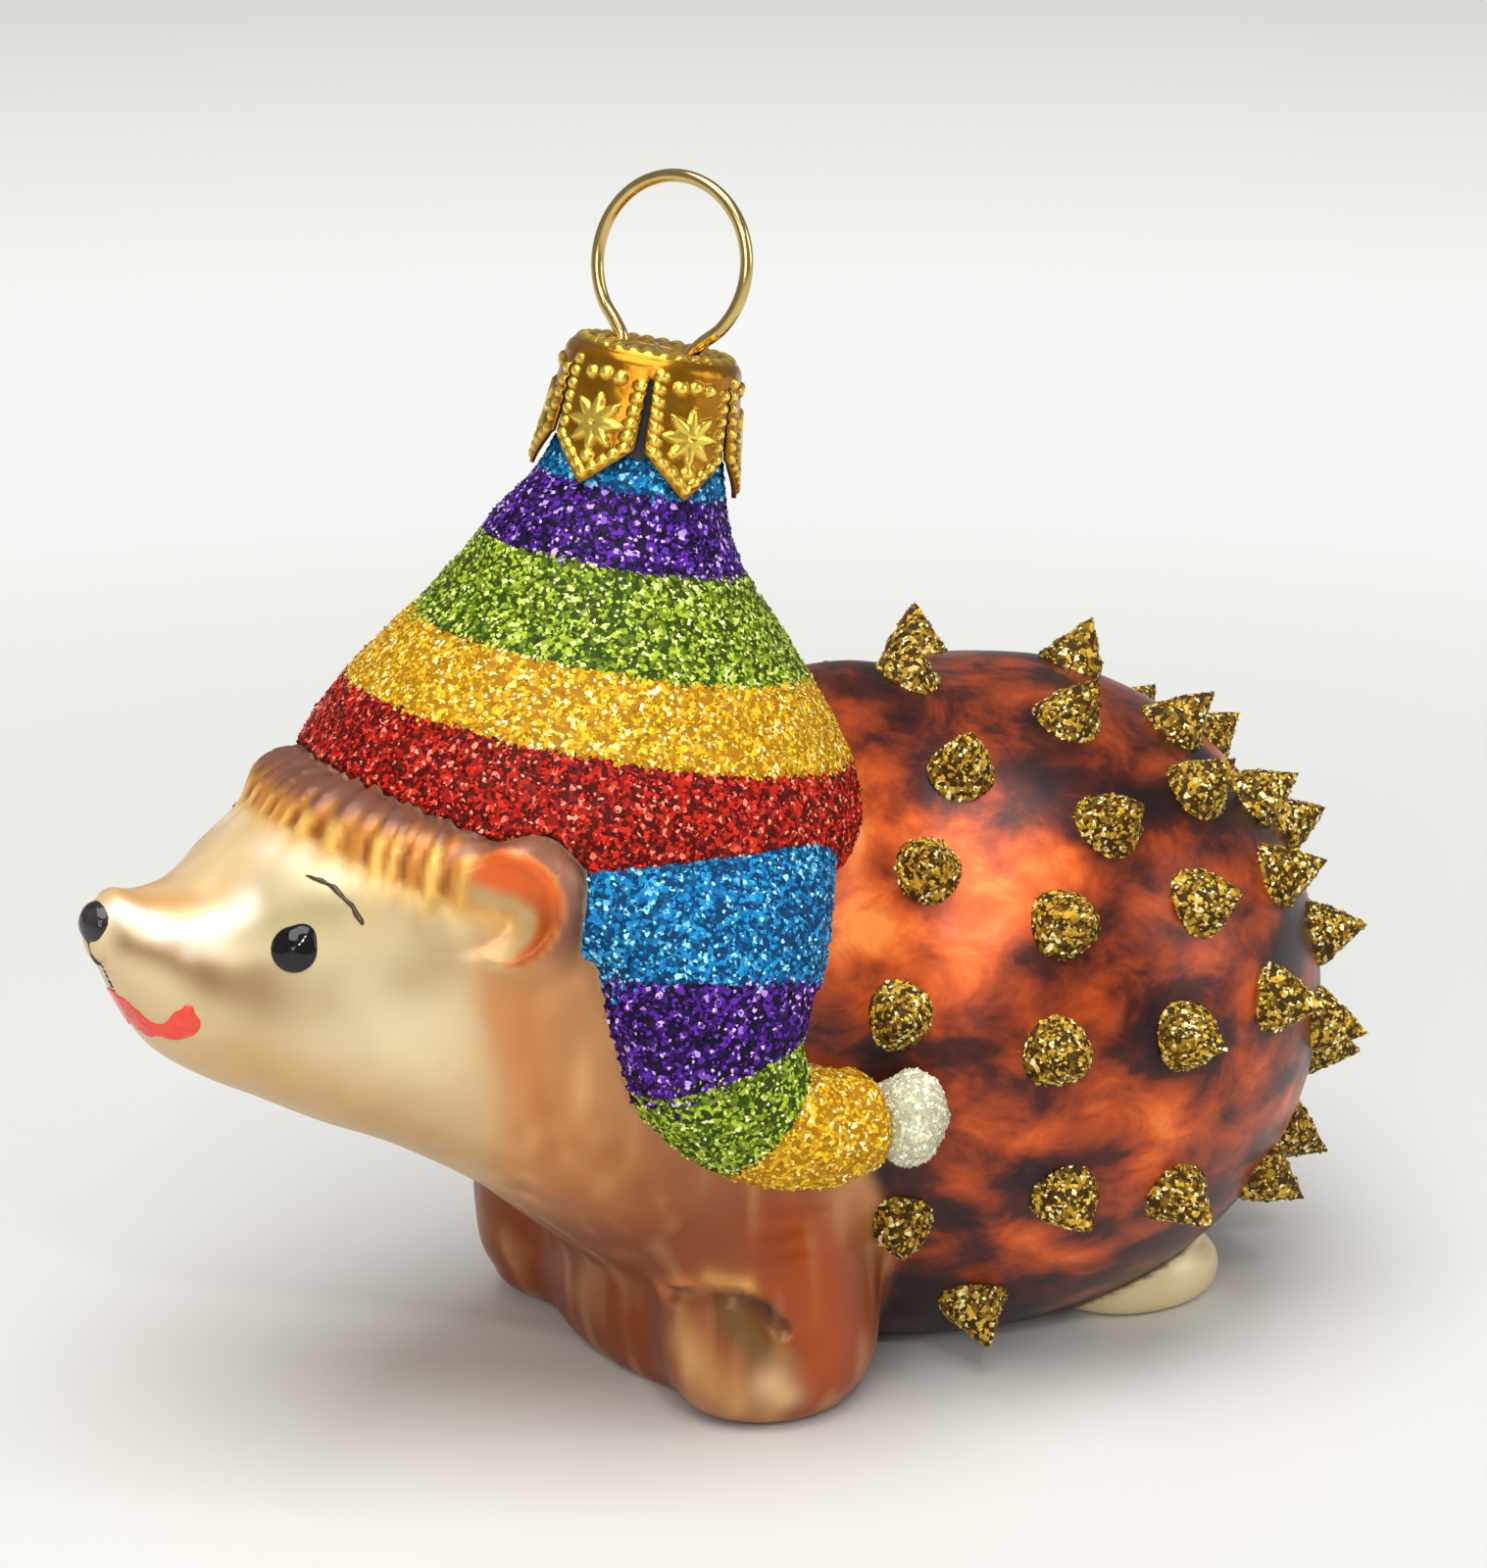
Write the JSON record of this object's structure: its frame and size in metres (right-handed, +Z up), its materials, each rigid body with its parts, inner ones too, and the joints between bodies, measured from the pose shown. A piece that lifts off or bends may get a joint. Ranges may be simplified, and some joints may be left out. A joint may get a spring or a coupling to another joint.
{
  "type": "hedgehog figurine ornament",
  "caption": "Hollow blown-glass hedgehog figure in a striped glitter bobble hat, with glitter thorns and a crimped metal cap that holds a sprung wire ring.",
  "frame": {"origin": "centre of the bounding box on the plane that the figure stands on", "axes": "+Z up; the snout looks towards -X; the hat's tail and bobble hang on the -Y side"},
  "size_m": [0.111, 0.0648, 0.0945],
  "materials": {
    "lacquered_glass": "pearl and brown lacquer on blown glass, semi-gloss",
    "glitter_red": "coarse red glitter flakes in clear adhesive",
    "glitter_yellow": "coarse yellow glitter flakes in clear adhesive",
    "glitter_green": "coarse green glitter flakes in clear adhesive",
    "glitter_purple": "coarse purple glitter flakes in clear adhesive",
    "glitter_blue": "coarse blue glitter flakes in clear adhesive",
    "glitter_pale": "pale sugar-like glitter in clear adhesive",
    "glitter_gold": "drawn glass points under gold glitter",
    "black_enamel": "glossy black enamel",
    "gilt_cap": "bright stamped gilt sheet",
    "gilt_wire": "polished gilt spring wire"
  },
  "bodies": {
    "figure": {"glass_body": "lacquered_glass", "hat_coat_red": "glitter_red", "hat_coat_yellow": "glitter_yellow", "hat_coat_green": "glitter_green", "hat_coat_purple": "glitter_purple", "hat_coat_blue": "glitter_blue", "tail_coat_blue": "glitter_blue", "tail_coat_purple": "glitter_purple", "tail_coat_green": "glitter_green", "tail_coat_yellow": "glitter_yellow", "bobble": "glitter_pale", "thorn_01": "glitter_gold", "thorn_02": "glitter_gold", "thorn_03": "glitter_gold", "thorn_04": "glitter_gold", "thorn_05": "glitter_gold", "thorn_06": "glitter_gold", "thorn_07": "glitter_gold", "thorn_08": "glitter_gold", "thorn_09": "glitter_gold", "thorn_10": "glitter_gold", "thorn_11": "glitter_gold", "thorn_12": "glitter_gold", "thorn_13": "glitter_gold", "thorn_14": "glitter_gold", "thorn_15": "glitter_gold", "thorn_16": "glitter_gold", "thorn_17": "glitter_gold", "thorn_18": "glitter_gold", "thorn_19": "glitter_gold", "thorn_20": "glitter_gold", "thorn_21": "glitter_gold", "thorn_22": "glitter_gold", "thorn_23": "glitter_gold", "thorn_24": "glitter_gold", "thorn_25": "glitter_gold", "thorn_26": "glitter_gold", "thorn_27": "glitter_gold", "thorn_28": "glitter_gold", "thorn_29": "glitter_gold", "thorn_30": "glitter_gold", "thorn_31": "glitter_gold", "thorn_32": "glitter_gold", "thorn_33": "glitter_gold", "thorn_34": "glitter_gold", "thorn_35": "glitter_gold", "thorn_36": "glitter_gold", "thorn_37": "glitter_gold", "thorn_38": "glitter_gold", "thorn_39": "glitter_gold", "thorn_40": "glitter_gold", "thorn_41": "glitter_gold", "thorn_42": "glitter_gold", "thorn_43": "glitter_gold", "thorn_44": "glitter_gold", "eye_left": "black_enamel", "eye_right": "black_enamel", "nose_paint": "black_enamel"},
    "cap": {"cap": "gilt_cap"},
    "hanger": {"hanger_wire": "gilt_wire"}
  },
  "joints": [
    {"name": "cap_lift", "type": "slide", "parent": "figure", "child": "cap", "axis": [0.2079, 0, 0.9781], "range_m": [0, 0.018]},
    {"name": "hanger_pull", "type": "slide", "parent": "cap", "child": "hanger", "axis": [0.2079, 0, 0.9781], "range_m": [0, 0.003]}
  ]
}
